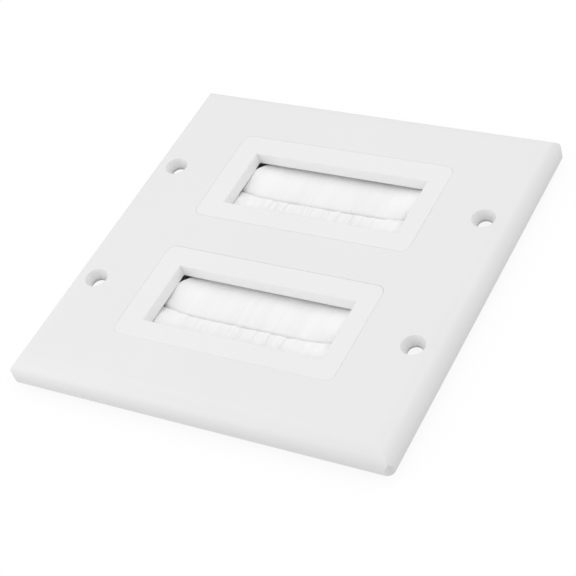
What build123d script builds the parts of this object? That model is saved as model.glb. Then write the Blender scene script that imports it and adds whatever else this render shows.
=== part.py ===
from build123d import *
from math import cos, radians, sin, tan
import os

# Two-gang wall plate with a brush insert in each gang, in millimetres.
# The plate lies on its back: +Z leaves the front face, +Y is up once it is on the wall,
# and the origin is the centre of the plate in the plane where its rim meets the wall.

# Face plate
GANG_PITCH = 46.04
ONE_GANG_WIDTH = 69.86
SCREW_SPACING = 96.84
SCREW_END_MARGIN = 8.73
PLATE_DEPTH = 6.8
FACE_SKIN = 2.6
RIM_WALL = 2.0
EDGE_ROUND = 5.25
PLAN_CORNER = 2.0
OPENING_WIDTH = 33.36
OPENING_LENGTH = 66.76
OPENING_CORNER = 2.53
SCREW_BORE = 4.1
COUNTERSINK_MOUTH = 6.6
COUNTERSINK_DEPTH = 2.5
SCREW_LAND = 0.7
BOSS_WALL = 2.2
RIB = 1.2
RIB_RELIEF = 0.5
CROSS_RIB_OFFSET = 3.5

# Hooks on the back of the face that hold the inserts
HOOK_THICKNESS = 1.4
HOOK_WIDTH = 9.0
HOOK_BARB = 0.8
HOOK_BARB_LAND = 0.4
HOOK_LEAD = 1.2
HOOK_POSITION = 20.0
HOOK_GAP = 0.15
CATCH_CLEARANCE = 0.05

# Insert frame
SEAM_GAP = 0.05
BEZEL = 3.0
BEZEL_SIDE = 6.33
BEZEL_END = 6.145
WINDOW_SHIFT_X = -0.05
WINDOW_SHIFT_Y = -0.465
WINDOW_DRAFT = 14.0
WINDOW_ROUND = 0.45
FLANGE_OVERLAP = 1.6
FLANGE_THICKNESS = 1.4
TUB_WALL = 1.2
TUB_SKIRT = 0.35
STOP_THICKNESS = 1.5
INSERT_DRIFT = {"left": -0.03, "right": 0.0}

# Brush strip
STRIP_SHORTFALL = 2.385
CHANNEL_HEIGHT = 4.3
CHANNEL_DEPTH = 4.0
CHANNEL_WALL = 0.5
CHANNEL_CORNER = 1.1
CRIMP_LENGTH = 1.2
CRIMP_GAP = 0.05
WIRE_DIAMETER = 1.2
WIRE_CLEARANCE = 0.03
BUNDLE_THICKNESS = 2.7
BUNDLE_INSET = 0.4
BRISTLE_LAP = 2.9
LAP_CLEARANCE = 0.1
TIP_THICKNESS = 0.2
TUFT_PITCH = 1.25
TUFT_GAP = 0.1
END_SPLAY = 30.0
END_TRIM = 1.5
FAN_POWER = 11

# Retainer behind the strips
RETAINER_THICKNESS = 1.5
RETAINER_MARGIN = 0.6
RETAINER_CORNER = 1.0
NIB_LENGTH = 6.0
NIB_REACH = 0.7
NIB_HEIGHT = 0.9
NIB_POSITION = 18.0

SEAT_CLEARANCE = 0.05
SLIDE_CLEARANCE = 0.1

# Derived values
PLATE_WIDTH = GANG_PITCH + ONE_GANG_WIDTH
PLATE_HEIGHT = SCREW_SPACING + 2 * SCREW_END_MARGIN
SKIN_BACK = PLATE_DEPTH - FACE_SKIN
SCREW_BACK = PLATE_DEPTH - COUNTERSINK_DEPTH - SCREW_LAND
GANG_X = {"left": -GANG_PITCH / 2, "right": GANG_PITCH / 2}

FRONT_WIDTH = OPENING_WIDTH - 2 * SEAM_GAP
FRONT_LENGTH = OPENING_LENGTH - 2 * SEAM_GAP
FRONT_CORNER = OPENING_CORNER - SEAM_GAP
FLANGE_WIDTH = OPENING_WIDTH + 2 * FLANGE_OVERLAP
FLANGE_LENGTH = OPENING_LENGTH + 2 * FLANGE_OVERLAP
FLANGE_BACK = SKIN_BACK - FLANGE_THICKNESS
BEZEL_BACK = PLATE_DEPTH - BEZEL
TUB_INNER_WIDTH = FRONT_WIDTH - 2 * TUB_WALL
TUB_INNER_LENGTH = FRONT_LENGTH - 2 * TUB_WALL
TUB_INNER_CORNER = FRONT_CORNER - TUB_WALL

WINDOW_WIDTH = FRONT_WIDTH - 2 * BEZEL_SIDE
WINDOW_LENGTH = FRONT_LENGTH - 2 * BEZEL_END

STRIP_LENGTH = WINDOW_LENGTH - 2 * STRIP_SHORTFALL
ROW_HALF_LENGTH = STRIP_LENGTH / 2 - BUNDLE_INSET
CHANNEL_TOP = BEZEL_BACK - SEAT_CLEARANCE
CHANNEL_MIDDLE = CHANNEL_TOP - CHANNEL_HEIGHT / 2
CHANNEL_BOTTOM = CHANNEL_TOP - CHANNEL_HEIGHT
CHANNEL_BACK_X = TUB_INNER_WIDTH / 2 - SEAT_CLEARANCE
MOUTH_X = CHANNEL_BACK_X - CHANNEL_DEPTH
RETAINER_TOP = CHANNEL_BOTTOM - SEAT_CLEARANCE
RETAINER_BOTTOM = RETAINER_TOP - RETAINER_THICKNESS
TUB_BOTTOM = RETAINER_BOTTOM - TUB_SKIRT
RETAINER_WIDTH = TUB_INNER_WIDTH - 2 * SLIDE_CLEARANCE
RETAINER_LENGTH = TUB_INNER_LENGTH - 2 * SLIDE_CLEARANCE
NIB_MIDDLE = RETAINER_TOP - RETAINER_THICKNESS / 2


def profile_prism(width, depth, top, radius, plane):
    """Flat bar with both top edges rounded, drawn in a plane and run both ways along its normal."""
    half = width / 2
    outline = Polyline((-half, top - radius), (-half, 0), (half, 0), (half, top - radius))
    outline += CenterArc((half - radius, top - radius), radius, 0, 90)
    outline += Line((half - radius, top), (radius - half, top))
    outline += CenterArc((radius - half, top - radius), radius, 90, 90)
    return extrude(plane * make_face(outline), depth / 2, both=True)


def pillow(width, height, top, radius):
    """Slab whose four rounded edges meet on mitre lines at the corners."""
    across = profile_prism(width, height, top, radius, Plane.XZ)
    along = profile_prism(height, width, top, radius, Plane.YZ)
    return across & along


def rounded_block(width, length, corner, low, high):
    """Upright prism with rounded corners, from one height to another."""
    return Pos(0, 0, low) * extrude(RectangleRounded(width, length, corner), high - low)


def at_screws():
    """Centres of the four screw holes."""
    return [Pos(x, y, 0) for x in GANG_X.values() for y in (-SCREW_SPACING / 2, SCREW_SPACING / 2)]


def screw_cutter():
    """Straight bore with the steep countersink that takes an oval head."""
    bore = Pos(0, 0, PLATE_DEPTH / 2) * Cylinder(SCREW_BORE / 2, 2 * PLATE_DEPTH)
    cone = Cone(SCREW_BORE / 2, COUNTERSINK_MOUTH / 2, COUNTERSINK_DEPTH)
    return bore + Pos(0, 0, PLATE_DEPTH - COUNTERSINK_DEPTH / 2) * cone


def screw_boss():
    """Round pad that thickens the skin behind a screw hole."""
    radius = SCREW_BORE / 2 + BOSS_WALL
    height = PLATE_DEPTH - SCREW_BACK - FACE_SKIN / 2
    return Pos(0, 0, SCREW_BACK + height / 2) * Cylinder(radius, height)


def plate_ribs():
    """Web down the middle, flush with the rim, and two lower webs across, beyond the inserts."""
    inner_height = PLATE_HEIGHT - RIM_WALL
    inner_width = PLATE_WIDTH - RIM_WALL
    ribs = Pos(0, 0, PLATE_DEPTH / 2) * Box(RIB, inner_height, PLATE_DEPTH)
    height = PLATE_DEPTH - RIB_RELIEF
    y = FLANGE_LENGTH / 2 + CROSS_RIB_OFFSET
    for side in (-1, 1):
        ribs += Pos(0, side * y, RIB_RELIEF + height / 2) * Box(inner_width, RIB, height)
    return ribs


def hook():
    """Cantilever hook on the +X side of an insert, drawn at the insert's centre line."""
    inside = FLANGE_WIDTH / 2 + HOOK_GAP
    outside = inside + HOOK_THICKNESS
    catch = FLANGE_BACK - CATCH_CLEARANCE
    barb = inside - HOOK_GAP - HOOK_BARB
    tip = catch - HOOK_BARB_LAND - HOOK_LEAD
    root = SKIN_BACK + FACE_SKIN / 2
    outline = Polyline(
        (inside, root),
        (inside, catch),
        (barb, catch),
        (barb, catch - HOOK_BARB_LAND),
        (inside, tip),
        (outside, tip),
        (outside, root),
        close=True,
    )
    return extrude(Plane.XZ * make_face(outline), HOOK_WIDTH / 2, both=True)


def at_hooks():
    """Places of the eight hooks: two on each long side of each insert."""
    places = []
    for x in GANG_X.values():
        for y in (-HOOK_POSITION, HOOK_POSITION):
            places.append(Pos(x, y, 0))
            places.append(Pos(x, y, 0) * Rot(0, 0, 180))
    return places


def face_plate():
    """Hollow-backed cover with two openings, four screw holes, ribs and hooks."""
    corner_prism = rounded_block(PLATE_WIDTH, PLATE_HEIGHT, PLAN_CORNER, 0, PLATE_DEPTH)
    outside = pillow(PLATE_WIDTH, PLATE_HEIGHT, PLATE_DEPTH, EDGE_ROUND) & corner_prism
    inner_width = PLATE_WIDTH - 2 * RIM_WALL
    inner_height = PLATE_HEIGHT - 2 * RIM_WALL
    shell = outside - pillow(inner_width, inner_height, SKIN_BACK, EDGE_ROUND - RIM_WALL)
    shell += plate_ribs() & outside
    shell += [place * screw_boss() for place in at_screws()]
    opening = rounded_block(OPENING_WIDTH, OPENING_LENGTH, OPENING_CORNER, SKIN_BACK / 2, 2 * PLATE_DEPTH)
    shell -= [Pos(x, 0, 0) * opening for x in GANG_X.values()]
    shell -= [place * screw_cutter() for place in at_screws()]
    shell += [place * hook() for place in at_hooks()]
    return shell


def window_prism(width, plane):
    """Bar with the section of a window: walls that draw in from the face down, rounded at the face."""
    low = BEZEL_BACK - TUB_WALL
    top = PLATE_DEPTH
    half = width / 2
    half_low = half - (top - low) * tan(radians(WINDOW_DRAFT))
    outer = half + 2 * WINDOW_ROUND
    outline = Polyline(
        (-half_low, low),
        (half_low, low),
        (half, top),
        (outer, top),
        (outer, top + WINDOW_ROUND),
        (-outer, top + WINDOW_ROUND),
        (-outer, top),
        (-half, top),
        close=True,
    )
    section = make_face(outline)
    rims = section.vertices().filter_by_position(Axis.Y, top, top).sort_by(lambda corner: abs(corner.X))[:2]
    return extrude(plane * fillet(rims, WINDOW_ROUND), OPENING_LENGTH, both=True)


def insert_window():
    """Window of an insert, a little off its middle, with walls that meet on mitre lines."""
    window = window_prism(WINDOW_WIDTH, Plane.XZ) & window_prism(WINDOW_LENGTH, Plane.YZ)
    return Pos(WINDOW_SHIFT_X, WINDOW_SHIFT_Y, 0) * window


def retainer_window():
    """Straight opening of a retainer, in line with the window and wider than it."""
    opening = Rectangle(WINDOW_WIDTH + RETAINER_MARGIN, WINDOW_LENGTH + RETAINER_MARGIN)
    place = Pos(WINDOW_SHIFT_X, WINDOW_SHIFT_Y, NIB_MIDDLE)
    return extrude(place * opening, RETAINER_THICKNESS, both=True)


def strip_stops():
    """Four blocks in the tub that the ends of the channels stand between."""
    inner_edge = MOUTH_X
    width = TUB_INNER_WIDTH / 2 + TUB_WALL / 2 - inner_edge
    height = BEZEL_BACK + BEZEL / 2 - CHANNEL_MIDDLE
    y = STRIP_LENGTH / 2 + SLIDE_CLEARANCE + STOP_THICKNESS / 2
    block = Box(width, STOP_THICKNESS, height)
    z = CHANNEL_MIDDLE + height / 2
    x = inner_edge + width / 2
    return [Pos(sx * x, sy * y, z) * block for sx in (-1, 1) for sy in (-1, 1)]


def nib(reach, slack):
    """Wedge on the retainer's +X edge; with slack it is the slot in the tub that takes it."""
    inside = RETAINER_WIDTH / 2 - RETAINER_MARGIN
    edge = RETAINER_WIDTH / 2
    half = NIB_HEIGHT / 2 + slack
    outline = Polyline(
        (inside, half),
        (edge, half),
        (edge + reach, half),
        (edge + reach, -half / 2 - slack),
        (edge, -half),
        (inside, -half),
        close=True,
    )
    wedge = extrude(Plane.XZ * make_face(outline), NIB_LENGTH / 2 + slack, both=True)
    return Pos(0, 0, NIB_MIDDLE) * wedge


def at_nibs():
    """Places of a retainer's four nibs."""
    places = []
    for y in (-NIB_POSITION, NIB_POSITION):
        places.append(Pos(0, y, 0))
        places.append(Pos(0, y, 0) * Rot(0, 0, 180))
    return places


def insert_frame():
    """Flush bezel with a window, the flange behind the face and the tub that holds the strips."""
    frame = rounded_block(FRONT_WIDTH, FRONT_LENGTH, FRONT_CORNER, TUB_BOTTOM, PLATE_DEPTH)
    flange_corner = OPENING_CORNER + FLANGE_OVERLAP
    frame += rounded_block(FLANGE_WIDTH, FLANGE_LENGTH, flange_corner, FLANGE_BACK, SKIN_BACK)
    low = TUB_BOTTOM - TUB_SKIRT
    frame -= rounded_block(TUB_INNER_WIDTH, TUB_INNER_LENGTH, TUB_INNER_CORNER, low, BEZEL_BACK)
    frame += strip_stops()
    frame -= insert_window()
    slot_reach = TUB_WALL + 2 * SLIDE_CLEARANCE
    frame -= [place * nib(slot_reach, SLIDE_CLEARANCE) for place in at_nibs()]
    return frame


def retainer():
    """Flat ring that closes the tub from behind and clicks into it with four nibs."""
    ring = rounded_block(RETAINER_WIDTH, RETAINER_LENGTH, RETAINER_CORNER, RETAINER_BOTTOM, RETAINER_TOP)
    ring -= retainer_window()
    ring += [place * nib(NIB_REACH, 0) for place in at_nibs()]
    return ring


def channel():
    """Folded metal channel of the +X strip, its lips crimped on the bristles, about its mid-height."""
    half = CHANNEL_HEIGHT / 2
    mouth_half = BUNDLE_THICKNESS / 2 + CRIMP_GAP
    outer = Polyline(
        (MOUTH_X, mouth_half + CHANNEL_WALL),
        (MOUTH_X + CRIMP_LENGTH, half),
        (CHANNEL_BACK_X, half),
        (CHANNEL_BACK_X, -half),
        (MOUTH_X + CRIMP_LENGTH, -half),
        (MOUTH_X, -mouth_half - CHANNEL_WALL),
        close=True,
    )
    inner_half = half - CHANNEL_WALL
    inner = Polyline(
        (MOUTH_X, mouth_half),
        (MOUTH_X + CRIMP_LENGTH, inner_half),
        (CHANNEL_BACK_X - CHANNEL_WALL, inner_half),
        (CHANNEL_BACK_X - CHANNEL_WALL, -inner_half),
        (MOUTH_X + CRIMP_LENGTH, -inner_half),
        (MOUTH_X, -mouth_half),
        close=True,
    )
    outer_face = make_face(outer)
    back_corners = outer_face.vertices().group_by(Axis.X)[-1]
    section = fillet(back_corners, CHANNEL_CORNER) - make_face(inner)
    return extrude(Plane.XZ * section, STRIP_LENGTH / 2, both=True)


def fold_centre_x():
    """Where the filaments fold round the wire, measured from the middle of the insert."""
    return CHANNEL_BACK_X - CHANNEL_WALL - CRIMP_GAP - BUNDLE_THICKNESS / 2


def core_wire():
    """Wire that the filaments are folded over."""
    wire = Rot(90, 0, 0) * Cylinder(WIRE_DIAMETER / 2, STRIP_LENGTH)
    return Pos(fold_centre_x(), 0, 0) * wire


def bristle_fold():
    """Bundle inside the channel, rounded where it turns back round the wire."""
    half = BUNDLE_THICKNESS / 2
    fold_x = fold_centre_x()
    outline = Polyline((fold_x, half), (MOUTH_X, half), (MOUTH_X, -half), (fold_x, -half))
    outline += CenterArc((fold_x, 0), half, -90, 180)
    hole = Pos(fold_x, 0) * Circle(WIRE_DIAMETER / 2 + WIRE_CLEARANCE)
    return extrude(Plane.XZ * (make_face(outline) - hole), ROW_HALF_LENGTH, both=True)


def free_bristles():
    """Side view of the free filaments: flat on one side, thinning on the other where the rows lap."""
    half = BUNDLE_THICKNESS / 2
    root = MOUTH_X + CRIMP_LENGTH
    underside_at_tip = half - TIP_THICKNESS
    slope = (underside_at_tip - LAP_CLEARANCE / 2) / BRISTLE_LAP
    bend_x = (half + LAP_CLEARANCE / 2) / slope
    outline = Polyline(
        (root, half),
        (-BRISTLE_LAP, half),
        (-BRISTLE_LAP, underside_at_tip),
        (bend_x, -half),
        (root, -half),
        close=True,
    )
    return extrude(Plane.XZ * make_face(outline), TUB_INNER_LENGTH / 2, both=True)


def fan_tip(y):
    """End of a filament that leaves the mouth at y; the last ones fan out and are shorter."""
    share = y / ROW_HALF_LENGTH
    turn = radians(END_SPLAY) * share**FAN_POWER
    length = MOUTH_X + BRISTLE_LAP - END_TRIM * abs(share) ** FAN_POWER
    return MOUTH_X - length * cos(turn), y + length * sin(turn)


def tuft_plan(low, high):
    """Upright prism that bounds one tuft, between two places along the mouth."""
    root = MOUTH_X + CRIMP_LENGTH
    low_x, low_y = fan_tip(low)
    high_x, high_y = fan_tip(high)
    inset = TUFT_GAP / 2
    outline = Polyline(
        (root, low + inset),
        (MOUTH_X, low + inset),
        (low_x, low_y + inset),
        (high_x, high_y - inset),
        (MOUTH_X, high - inset),
        (root, high - inset),
        close=True,
    )
    return extrude(make_face(outline), BUNDLE_THICKNESS, both=True)


def bristle_row():
    """Bristles of the +X strip: one fold in the channel and tufts side by side."""
    count = round(2 * ROW_HALF_LENGTH / TUFT_PITCH)
    pitch = 2 * ROW_HALF_LENGTH / count
    edges = [i * pitch - ROW_HALF_LENGTH for i in range(count + 1)]
    free = free_bristles()
    tufts = [tuft_plan(low, high) & free for low, high in zip(edges, edges[1:])]
    return bristle_fold() + tufts


def strip_place(gang, side):
    """Where a strip goes: the right one as drawn, the left one turned over about its length."""
    base = Pos(GANG_X[gang] + INSERT_DRIFT[gang], 0, CHANNEL_MIDDLE)
    if side == "right":
        return base
    return base * Rot(0, 180, 0)


def build_nodes():
    """Every piece of the plate under its node name."""
    nodes = {"face_plate": face_plate()}
    frame = insert_frame()
    ring = retainer()
    strip_parts = {"channel": channel(), "wire": core_wire(), "bristles": bristle_row()}
    for gang, x in GANG_X.items():
        place = Pos(x + INSERT_DRIFT[gang], 0, 0)
        nodes["insert_frame_" + gang] = place * frame
        nodes["retainer_" + gang] = place * ring
        for side in ("left", "right"):
            for part, solid in strip_parts.items():
                nodes[gang + "_gang_" + side + "_" + part] = strip_place(gang, side) * solid
    return nodes


os.makedirs("parts", exist_ok=True)
for name, piece in build_nodes().items():
    export_step(piece, "parts/" + name + ".step")
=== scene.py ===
from itertools import product
from math import cos, radians, sin

import bpy
import numpy as np
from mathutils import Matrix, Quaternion, Vector


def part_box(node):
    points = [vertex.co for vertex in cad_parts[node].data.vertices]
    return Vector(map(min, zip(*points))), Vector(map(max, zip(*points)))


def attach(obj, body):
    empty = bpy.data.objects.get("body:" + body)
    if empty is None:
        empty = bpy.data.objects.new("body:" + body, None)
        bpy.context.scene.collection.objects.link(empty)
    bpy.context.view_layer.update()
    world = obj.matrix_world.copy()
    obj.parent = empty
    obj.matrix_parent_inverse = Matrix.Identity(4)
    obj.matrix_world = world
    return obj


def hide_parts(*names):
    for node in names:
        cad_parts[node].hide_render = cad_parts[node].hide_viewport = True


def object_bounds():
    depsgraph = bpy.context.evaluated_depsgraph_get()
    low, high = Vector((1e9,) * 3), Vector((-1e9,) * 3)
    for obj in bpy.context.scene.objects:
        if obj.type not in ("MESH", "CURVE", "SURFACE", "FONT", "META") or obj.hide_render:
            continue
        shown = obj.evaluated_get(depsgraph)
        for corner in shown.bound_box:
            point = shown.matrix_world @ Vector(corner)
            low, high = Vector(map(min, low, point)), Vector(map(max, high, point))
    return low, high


# Looks of the two-gang brush wall plate. The frame is in metres. Sizes named here are in millimetres,
# angles in degrees and the power of a light in watts.
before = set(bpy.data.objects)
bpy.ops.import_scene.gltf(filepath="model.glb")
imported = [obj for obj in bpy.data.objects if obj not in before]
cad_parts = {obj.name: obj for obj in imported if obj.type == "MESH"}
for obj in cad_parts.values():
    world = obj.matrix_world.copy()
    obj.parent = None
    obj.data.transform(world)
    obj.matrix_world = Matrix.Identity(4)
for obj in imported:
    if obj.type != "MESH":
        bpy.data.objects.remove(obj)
cad_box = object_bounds()

MM = 0.001
GANGS = ("left", "right")
SIDES = ("left", "right")

# Camera, as the photograph was taken
AZIMUTH = 310.388
ELEVATION = 43.545
ROLL = -18.907
DISTANCE = 453.44
AIM = (-7.748, -2.846, 0.0)
SENSOR = 36.0
LENS = 105.487

# Light
WORLD_STRENGTH = 0.90
WORLD_SHOWN = 1.0
NEAR_LIGHT_PLACE = (-420.0, 350.0, 170.0)
NEAR_LIGHT_SIZE = 350.0
NEAR_LIGHT_POWER = 0.62
FAR_LIGHT_PLACE = (990.0, -880.0, 1220.0)
FAR_LIGHT_SIZE = 850.0
FAR_LIGHT_POWER = 4.15

# Floor
FLOOR_SIZE = 6000.0
FLOOR_COLOUR = 0.52
FLOOR_COLOUR_SHOWN = 1.0
FLOOR_GLOW = 0.9

# Patterns: the useful middle of their values, and the usual detail of a noise
PATTERN_MIDDLE = (0.3, 0.7)
NOISE_DETAIL = 3.0

# Moulded plastic
PLASTIC_IOR = 1.5
PLATE_TONE = 0.797
PLATE_ROUGHNESS = 0.42
PLATE_GRAIN = 0.004
INSERT_TONE = 0.822
INSERT_ROUGHNESS = 0.38
INSERT_GRAIN = 0.003
RETAINER_TONE = 0.70
RETAINER_ROUGHNESS = 0.45
RETAINER_GRAIN = 0.004
FLOW_SIZE = 28.0
FLOW_DETAIL = 2.0
FLOW_DRIFT = 0.006
GRAIN_SIZE = 0.55
GRAIN_DRIFT = 0.04

# Bare metal
ALUMINIUM_TONE = 0.80
ALUMINIUM_ROUGHNESS = 0.34
STEEL_TONE = 0.60
STEEL_ROUGHNESS = 0.30
PATCH_SIZE = 9.0
PATCH_DARKER = 0.05
PATCH_LIGHTER = 0.03
LINE_SIZE = 0.2
LINE_DETAIL = 4.0
LINE_STRETCH = 0.02
LINE_DRIFT = 0.08
LINE_HEIGHT = 0.01

# Nylon
NYLON_IOR = 1.53
NYLON_ROUGHNESS = 0.42
NYLON_SHEEN = 0.25
NYLON_SHEEN_ROUGHNESS = 0.6
NYLON_TONES = (0.94, 0.985)
NYLON_GRAIN_SIZE = 0.4
NYLON_GRAIN_DETAIL = 2.0
NYLON_GRAIN = 0.004
STRAND_MIDDLE = 0.5
STRAND_SPREAD = 0.125

# Filaments and the layers of each row
FIRST_SEED = 40
FILAMENT_DIAMETER = 0.19
FILAMENT_SIDES = 5
FILAMENT_PITCH = 0.155
FLAT_LAYERS = {"left": 2, "right": 3}
SLOPED_LAYERS = {"left": 3, "right": 2}
LAYER_PITCH = 0.13
LAYER_SCATTER = 0.02
BUNDLE_INSET = 1.0
BUNDLE_SHIFT = {"left": -0.1, "right": -0.9}
SHARE_SAMPLES = 2001

# Way of a filament from the fold to its tip. Stations are shares of its free length.
FOLD_STEPS = 3
FREE_STATIONS = (0.0, 0.15, 0.35, 0.54, 0.92, 1.0)
MOUTH_DIP = 0.6
DIP_SHARE = 0.35
TIP_THICKNESS = 0.2
LAP_CLEARANCE = 0.1
BEND_ROUND = 0.12
TIP_SINK = 0.06
TIP_DROOP = 0.6
DROOP_FROM = 0.54
DROOP_POWER = 2.4

# Ends of a row
FAN_TURN = 34.0
FAN_POWER = 11
FAN_TRIM = 1.5
EVEN_AT = 0.95
END_LIFT = 0.7
LIFT_POWER = 6
END_FILL = 60
END_FROM = 0.93

# Clumps and scatter
CLUMP_WIDTH = {"left": 1.0, "right": 2.2}
CLUMP_WIDTH_RANGE = (0.4, 1.8)
CLUMP_PULL = {"left": 0.12, "right": 0.005}
CLUMP_TRIM = 0.05
CLUMP_LIFT = {"left": 0.16, "right": 0.02}
BACK_CLUMPING = 0.15
LENGTH_SCATTER = 0.1
SIDE_SCATTER = 0.02


def set_inputs(node, values):
    """Sets several sockets of a shader node by name."""
    for name, value in values.items():
        node.inputs[name].default_value = value


def grey(value):
    """Opaque neutral colour."""
    return (value, value, value, 1.0)


def new_material(name):
    """Material with its principled shader, ready for pattern nodes."""
    material = bpy.data.materials.new(name)
    material.use_nodes = True
    return material, material.node_tree, material.node_tree.nodes["Principled BSDF"]


def add_noise(tree, size, detail=NOISE_DETAIL, stretch=(1.0, 1.0, 1.0)):
    """Noise in the object's own metres, with features of about a given size in millimetres."""
    place = tree.nodes.new("ShaderNodeTexCoord")
    mapping = tree.nodes.new("ShaderNodeMapping")
    set_inputs(mapping, {"Scale": stretch})
    noise = tree.nodes.new("ShaderNodeTexNoise")
    set_inputs(noise, {"Scale": 1.0 / (size * MM), "Detail": detail})
    tree.links.new(place.outputs["Object"], mapping.inputs["Vector"])
    tree.links.new(mapping.outputs["Vector"], noise.inputs["Vector"])
    return noise.outputs["Fac"]


def add_range(tree, factor, low, high):
    """Spreads a pattern's useful middle over a range of values."""
    spread = tree.nodes.new("ShaderNodeMapRange")
    set_inputs(spread, {"From Min": PATTERN_MIDDLE[0], "From Max": PATTERN_MIDDLE[1]})
    set_inputs(spread, {"To Min": low, "To Max": high})
    tree.links.new(factor, spread.inputs["Value"])
    return spread.outputs["Result"]


def add_tone(tree, shader, factor, low, high):
    """Base colour that drifts between two neutral greys."""
    mix = tree.nodes.new("ShaderNodeMix")
    mix.data_type = "RGBA"
    set_inputs(mix, {"A": grey(low), "B": grey(high)})
    tree.links.new(add_range(tree, factor, 0.0, 1.0), mix.inputs["Factor"])
    tree.links.new(mix.outputs["Result"], shader.inputs["Base Color"])


def add_bump(tree, shader, factor, height):
    """Relief of a given height in millimetres."""
    bump = tree.nodes.new("ShaderNodeBump")
    set_inputs(bump, {"Distance": height * MM, "Strength": 1.0})
    tree.links.new(factor, bump.inputs["Height"])
    tree.links.new(bump.outputs["Normal"], shader.inputs["Normal"])


def moulded_plastic(name, tone, roughness, relief):
    """White moulded plastic: faint flow marks in the tone and a fine satin grain."""
    material, tree, shader = new_material(name)
    set_inputs(shader, {"IOR": PLASTIC_IOR})
    flow = add_noise(tree, FLOW_SIZE, FLOW_DETAIL)
    add_tone(tree, shader, flow, tone - FLOW_DRIFT, tone + FLOW_DRIFT)
    grain = add_noise(tree, GRAIN_SIZE)
    gloss = add_range(tree, grain, roughness - GRAIN_DRIFT, roughness + GRAIN_DRIFT)
    tree.links.new(gloss, shader.inputs["Roughness"])
    add_bump(tree, shader, grain, relief)
    return material


def rolled_metal(name, tone, roughness):
    """Bare metal with fine lines along the strip."""
    material, tree, shader = new_material(name)
    set_inputs(shader, {"Metallic": 1.0})
    lines = add_noise(tree, LINE_SIZE, LINE_DETAIL, (1.0, LINE_STRETCH, 1.0))
    patches = add_noise(tree, PATCH_SIZE)
    add_tone(tree, shader, patches, tone - PATCH_DARKER, tone + PATCH_LIGHTER)
    gloss = add_range(tree, lines, roughness - LINE_DRIFT, roughness + LINE_DRIFT)
    tree.links.new(gloss, shader.inputs["Roughness"])
    add_bump(tree, shader, lines, LINE_HEIGHT)
    return material


def nylon(name):
    """White nylon filaments, each a little lighter or darker than the next."""
    material, tree, shader = new_material(name)
    set_inputs(shader, {"IOR": NYLON_IOR, "Roughness": NYLON_ROUGHNESS})
    set_inputs(shader, {"Sheen Weight": NYLON_SHEEN, "Sheen Roughness": NYLON_SHEEN_ROUGHNESS})
    strand = tree.nodes.new("ShaderNodeAttribute")
    strand.attribute_name = "strand"
    add_tone(tree, shader, strand.outputs["Fac"], *NYLON_TONES)
    add_bump(tree, shader, add_noise(tree, NYLON_GRAIN_SIZE, NYLON_GRAIN_DETAIL), NYLON_GRAIN)
    return material


def dress_nodes(materials):
    """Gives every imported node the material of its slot."""
    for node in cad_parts.values():
        for index, old in enumerate(node.data.materials):
            node.data.materials[index] = materials[old.name.split(".")[0]]


def strip_measures(gang, side):
    """A strip's sizes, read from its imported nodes. Lengths run from the middle of the gang."""
    prefix = f"{gang}_gang_{side}_"
    channel_low, channel_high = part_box(prefix + "channel")
    wire_low, wire_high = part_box(prefix + "wire")
    row_low, row_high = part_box(prefix + "bristles")
    other = "left" if side == "right" else "right"
    other_low, other_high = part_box(f"{gang}_gang_{other}_channel")
    sign = 1 if side == "right" else -1
    middle_x = (min(channel_low.x, other_low.x) + max(channel_high.x, other_high.x)) / 2
    mouth = min(abs(channel_low.x - middle_x), abs(channel_high.x - middle_x))
    tip_x = row_low.x if side == "right" else row_high.x
    return {
        "sign": sign,
        "middle_x": middle_x,
        "middle_z": (channel_low.z + channel_high.z) / 2,
        "mouth": mouth,
        "lap": sign * (middle_x - tip_x),
        "fold": sign * ((wire_low.x + wire_high.x) / 2 - middle_x),
        "half_height": (row_high.z - row_low.z) / 2,
        "half_length": (channel_high.y - channel_low.y) / 2 - BUNDLE_INSET * MM,
    }


def clumps(start, random, side):
    """Each filament's clump: its number, its middle and half its width."""
    reach = abs(start).max()
    edges = [-reach]
    while edges[-1] < reach:
        edges.append(edges[-1] + CLUMP_WIDTH[side] * MM * random.uniform(*CLUMP_WIDTH_RANGE))
    edges = np.array(edges)
    clump = np.clip(np.searchsorted(edges, start) - 1, 0, len(edges) - 2)
    return clump, (edges[clump] + edges[clump + 1]) / 2, (edges[clump + 1] - edges[clump]) / 2


def fan(share):
    """Turn and loss of length of a filament, by its place along the row from -1 to 1."""
    turn = radians(FAN_TURN) * share**FAN_POWER
    return turn, FAN_TRIM * MM * abs(share) ** FAN_POWER


def row_sides(share, size):
    """How far along the row a filament lies part way out, where the fanned row is even."""
    turn, trim = fan(share)
    return share * size["half_length"] + EVEN_AT * (size["mouth"] + size["lap"] - trim) * np.sin(turn)


def even_shares(size):
    """Places along the row of one layer's filaments, which lie side by side part way out."""
    share = np.linspace(-1.0, 1.0, SHARE_SAMPLES)
    side = row_sides(share, size)
    count = round((side[-1] - side[0]) / (FILAMENT_PITCH * MM))
    return np.interp(np.linspace(side[0], side[-1], count), side, share)


def lap_rise(size):
    """Slope of the row's underside where it thins towards the tip, over the row that it laps."""
    return (size["half_height"] - (TIP_THICKNESS + LAP_CLEARANCE / 2) * MM) / size["lap"]


def underside(reach, size):
    """Height of the row's sloped face: flat near the mouth, then rising in a gentle bend to the tip."""
    low = -size["half_height"]
    rising = size["half_height"] - TIP_THICKNESS * MM - lap_rise(size) * (reach + size["lap"])
    middle = (low + rising) / 2
    return middle + np.sqrt((rising - middle) ** 2 + (BEND_ROUND * MM) ** 2)


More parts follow.
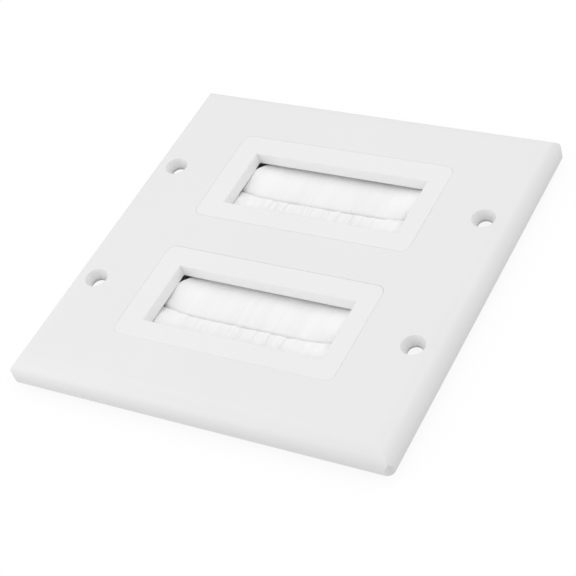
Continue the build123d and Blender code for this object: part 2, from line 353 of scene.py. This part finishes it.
def layered(size, random, side):
    """The filaments of a row's two legs: share along the row, whether the leg is flat, and its depth."""
    one_layer = even_shares(size)
    flat_layers = FLAT_LAYERS[side]
    layers = flat_layers + SLOPED_LAYERS[side]
    layer = np.repeat(np.arange(layers), one_layer.size)
    share = np.tile(one_layer, layers) + (layer % 2 - 0.5) / one_layer.size
    flat = layer < flat_layers
    number = np.where(flat, layer, layer - flat_layers)
    depth = number * LAYER_PITCH * MM + LAYER_SCATTER * MM * random.uniform(0.0, 1.0, layer.size)
    return np.clip(share, -1.0, 1.0), flat, depth


def end_fill(size, random):
    """Filaments that fill the row from face to face at its two ends, in pairs for each leg in turn."""
    end = np.tile((-1.0, 1.0), END_FILL)
    share = end * random.uniform(END_FROM, 1.0, end.size)
    depth = random.uniform(0.0, 1.0, end.size) * (size["half_height"] - FILAMENT_DIAMETER * MM)
    pair = np.arange(end.size) // 2
    return share, pair % 2 == 0, depth


def tip_height(reach, bend, size):
    """Height of a flat leg's tip, which lies against the other row of the gang."""
    rest = -underside(-reach, size) - TIP_SINK * MM
    return np.clip(rest, bend - TIP_DROOP * MM, bend)


def row_filaments(size, random, side):
    """Every filament of a row: its leg, place, length, turn, lean, lift and tone."""
    sets = zip(layered(size, random, side), end_fill(size, random))
    share, flat, depth = (np.concatenate(pair) for pair in sets)
    start = share * size["half_length"] + BUNDLE_SHIFT[side] * MM
    clump, middle, width = clumps(start, random, side)
    clump_length, clump_height, clump_tone = random.uniform(-1.0, 1.0, (3, clump.max() + 1))[:, clump]
    clumping = np.where(flat == (side == "right"), 1.0, BACK_CLUMPING)

    # A filament deeper in the row ends earlier, where the row is still thick enough for it.
    turn, trim = fan(share)
    under = np.where(flat, 0, 1) * LAYER_PITCH * MM
    room = under + depth + (FILAMENT_DIAMETER - TIP_THICKNESS) * MM
    trim = trim + np.maximum(room, 0.0) / lap_rise(size) + CLUMP_TRIM * MM * clump_length
    trim = trim + LENGTH_SCATTER * MM * random.uniform(0.0, 1.0, share.size)
    lean = CLUMP_PULL[side] * clumping * (middle - start)
    lean = lean + SIDE_SCATTER * MM * random.normal(0.0, 1.0, share.size)
    crown = 1.0 - ((start - middle) / width) ** 2
    lift = END_LIFT * MM * abs(share) ** LIFT_POWER
    lift = lift + CLUMP_LIFT[side] * MM * clumping * clump_height * crown
    return {
        "flat": flat,
        "depth": depth,
        "start": start,
        "turn": turn,
        "length": size["mouth"] + size["lap"] - np.maximum(trim, 0.0),
        "lean": lean,
        "lift": lift,
        "tone": STRAND_MIDDLE + STRAND_SPREAD * (clump_tone + random.uniform(-1.0, 1.0, share.size)),
    }


def centre_lines(row, size):
    """Centre lines of a row's filaments, from the fold behind the wire to the cut tip."""
    flat, depth, start, turn, length = (row[key] for key in ("flat", "depth", "start", "turn", "length"))
    skin = FILAMENT_DIAMETER * MM / 2
    leg = np.where(flat, 1.0, -1.0)
    bend = size["half_height"] - skin - depth
    tip = tip_height(size["mouth"] - length * np.cos(turn), bend, size)
    points = []
    for step in range(FOLD_STEPS):
        angle = radians(90) * step / (FOLD_STEPS - 1)
        points.append((size["fold"] + bend * cos(angle), start, leg * bend * sin(angle)))
    for station in FREE_STATIONS:
        reach = size["mouth"] - station * length * np.cos(turn)
        along = start + station * length * np.sin(turn) + row["lean"] * station**2
        dip = MOUTH_DIP * MM * max(1.0 - station / DIP_SHARE, 0.0) ** 2
        inward = dip - row["lift"] * sin(radians(180) * station)
        droop = (bend - tip) * (max(station - DROOP_FROM, 0.0) / (1.0 - DROOP_FROM)) ** DROOP_POWER
        # A sloped leg follows the row's underside, and its tip stands no higher than a flat one's.
        high = bend - droop
        low = np.minimum(underside(reach, size) + skin + depth, high)
        points.append((reach, along, np.where(flat, high - inward, low + inward)))
    return np.stack([np.stack(point, axis=-1) for point in points], axis=1)


def to_frame(paths, size):
    """Turns a strip's own lengths into places in the frame. The left strip is turned over."""
    placed = np.empty_like(paths)
    placed[..., 0] = size["middle_x"] + size["sign"] * paths[..., 0]
    placed[..., 1] = paths[..., 1]
    placed[..., 2] = size["middle_z"] + size["sign"] * paths[..., 2]
    return placed


def tube_rings(paths, radius):
    """Rings of vertices square to each path."""
    tangent = np.gradient(paths, axis=1)
    tangent /= np.linalg.norm(tangent, axis=-1, keepdims=True)
    across = np.array((0.0, 1.0, 0.0)) - tangent * tangent[..., 1:2]
    across /= np.linalg.norm(across, axis=-1, keepdims=True)
    upward = np.cross(tangent, across)
    rings = []
    for corner in range(FILAMENT_SIDES):
        angle = radians(360) * corner / FILAMENT_SIDES
        rings.append(paths + radius * (cos(angle) * across + sin(angle) * upward))
    return np.stack(rings, axis=2)


def filament_mesh(name, paths, tones):
    """Closed tubes along the paths, with their cut ends capped and a tone for each."""
    count, stations, _ = paths.shape
    rings = tube_rings(paths, FILAMENT_DIAMETER * MM / 2)
    index = np.arange(count * stations * FILAMENT_SIDES).reshape(count, stations, FILAMENT_SIDES)
    turned = np.roll(index, -1, axis=2)
    quads = np.stack([index[:, :-1], turned[:, :-1], turned[:, 1:], index[:, 1:]], axis=-1).reshape(-1, 4)
    starts = index[:, 0, ::-1]
    ends = index[:, -1]
    mesh = bpy.data.meshes.new(name)
    mesh.from_pydata(rings.reshape(-1, 3).tolist(), [], quads.tolist() + starts.tolist() + ends.tolist())
    smooth = np.ones(len(mesh.polygons), bool)
    smooth[len(quads):] = False
    mesh.polygons.foreach_set("use_smooth", smooth)
    tone = mesh.attributes.new("strand", "FLOAT", "POINT")
    tone.data.foreach_set("value", np.repeat(tones, stations * FILAMENT_SIDES).astype(np.float32))
    return mesh


def add_bristles(material):
    """One row of filaments for each strip, in place of its plain solid."""
    for number, (gang, side) in enumerate(product(GANGS, SIDES)):
        size = strip_measures(gang, side)
        row = row_filaments(size, np.random.default_rng(FIRST_SEED + number), side)
        paths = to_frame(centre_lines(row, size), size)
        name = f"{gang}_gang_{side}_filaments"
        piece = bpy.data.objects.new(name, filament_mesh(name, paths, row["tone"]))
        bpy.context.scene.collection.objects.link(piece)
        piece.data.materials.append(material)
        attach(piece, "root")
        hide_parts(f"{gang}_gang_{side}_bristles")


def shown_ray(tree):
    """One where the camera looks, straight or through gloss or glass, and nought for light."""
    path = tree.nodes.new("ShaderNodeLightPath")
    total = path.outputs["Is Camera Ray"]
    for name in ("Is Glossy Ray", "Is Transmission Ray"):
        highest = tree.nodes.new("ShaderNodeMath")
        highest.operation = "MAXIMUM"
        tree.links.new(total, highest.inputs[0])
        tree.links.new(path.outputs[name], highest.inputs[1])
        total = highest.outputs[0]
    return total


def floor_white():
    """Floor material that lights the plate as a pale floor does and looks white to the camera."""
    material, tree, shader = new_material("floor_white")
    tree.nodes.remove(shader)
    shown = shown_ray(tree)
    colour = tree.nodes.new("ShaderNodeMix")
    colour.data_type = "RGBA"
    set_inputs(colour, {"A": grey(FLOOR_COLOUR), "B": grey(FLOOR_COLOUR_SHOWN)})
    matt = tree.nodes.new("ShaderNodeBsdfDiffuse")
    glow = tree.nodes.new("ShaderNodeEmission")
    share = tree.nodes.new("ShaderNodeMath")
    share.operation = "MULTIPLY"
    share.inputs[1].default_value = FLOOR_GLOW
    mix = tree.nodes.new("ShaderNodeMixShader")
    tree.links.new(shown, colour.inputs["Factor"])
    tree.links.new(colour.outputs["Result"], matt.inputs["Color"])
    tree.links.new(shown, share.inputs[0])
    tree.links.new(share.outputs[0], mix.inputs["Fac"])
    tree.links.new(matt.outputs[0], mix.inputs[1])
    tree.links.new(glow.outputs[0], mix.inputs[2])
    tree.links.new(mix.outputs[0], tree.nodes["Material Output"].inputs["Surface"])
    return material


def add_floor():
    """Pale floor that the plate lies on, white to the camera apart from a soft shadow."""
    half = FLOOR_SIZE * MM / 2
    low = cad_box[0].z
    mesh = bpy.data.meshes.new("floor")
    corners = [(-half, -half, low), (half, -half, low), (half, half, low), (-half, half, low)]
    mesh.from_pydata(corners, [], [(0, 1, 2, 3)])
    mesh.materials.append(floor_white())
    floor = bpy.data.objects.new("floor", mesh)
    bpy.context.scene.collection.objects.link(floor)


def set_world():
    """White surroundings: full white where seen, and a plain level where they light the object."""
    world = bpy.data.worlds.new("white_room")
    bpy.context.scene.world = world
    world.use_nodes = True
    tree = world.node_tree
    background = tree.nodes["Background"]
    background.inputs["Color"].default_value = grey(1.0)
    level = tree.nodes.new("ShaderNodeMapRange")
    set_inputs(level, {"To Min": WORLD_STRENGTH, "To Max": WORLD_SHOWN})
    tree.links.new(shown_ray(tree), level.inputs["Value"])
    tree.links.new(level.outputs["Result"], background.inputs["Strength"])


def add_softbox(name, place, size, power):
    """Square soft light that faces the middle of the plate."""
    lamp = bpy.data.lights.new(name, "AREA")
    lamp.shape = "SQUARE"
    lamp.size = size * MM
    lamp.energy = power
    light = bpy.data.objects.new(name, lamp)
    light.location = Vector(place) * MM
    light.rotation_mode = "QUATERNION"
    light.rotation_quaternion = (-light.location).to_track_quat("-Z", "Y")
    bpy.context.scene.collection.objects.link(light)


def add_camera():
    """Camera at the photograph's angle and distance."""
    azimuth, elevation = radians(AZIMUTH), radians(ELEVATION)
    towards = Vector((sin(azimuth) * cos(elevation), -cos(azimuth) * cos(elevation), sin(elevation)))
    data = bpy.data.cameras.new("camera")
    data.sensor_width = SENSOR
    data.lens = LENS
    camera = bpy.data.objects.new("camera", data)
    camera.location = (Vector(AIM) + DISTANCE * towards) * MM
    camera.rotation_mode = "QUATERNION"
    roll = Quaternion((0.0, 0.0, 1.0), radians(ROLL))
    camera.rotation_quaternion = (-towards).to_track_quat("-Z", "Y") @ roll
    bpy.context.scene.collection.objects.link(camera)
    bpy.context.scene.camera = camera


materials = {
    "plate_plastic": moulded_plastic("plate_white", PLATE_TONE, PLATE_ROUGHNESS, PLATE_GRAIN),
    "insert_plastic": moulded_plastic("insert_white", INSERT_TONE, INSERT_ROUGHNESS, INSERT_GRAIN),
    "retainer_plastic": moulded_plastic("retainer_white", RETAINER_TONE, RETAINER_ROUGHNESS, RETAINER_GRAIN),
    "channel_metal": rolled_metal("rolled_aluminium", ALUMINIUM_TONE, ALUMINIUM_ROUGHNESS),
    "wire_metal": rolled_metal("drawn_steel", STEEL_TONE, STEEL_ROUGHNESS),
    "bristle_nylon": nylon("nylon_filament"),
}
add_camera()
dress_nodes(materials)
add_bristles(materials["bristle_nylon"])
add_floor()
set_world()
add_softbox("near_light", NEAR_LIGHT_PLACE, NEAR_LIGHT_SIZE, NEAR_LIGHT_POWER)
add_softbox("far_light", FAR_LIGHT_PLACE, FAR_LIGHT_SIZE, FAR_LIGHT_POWER)
bpy.context.scene.view_settings.view_transform = "Standard"
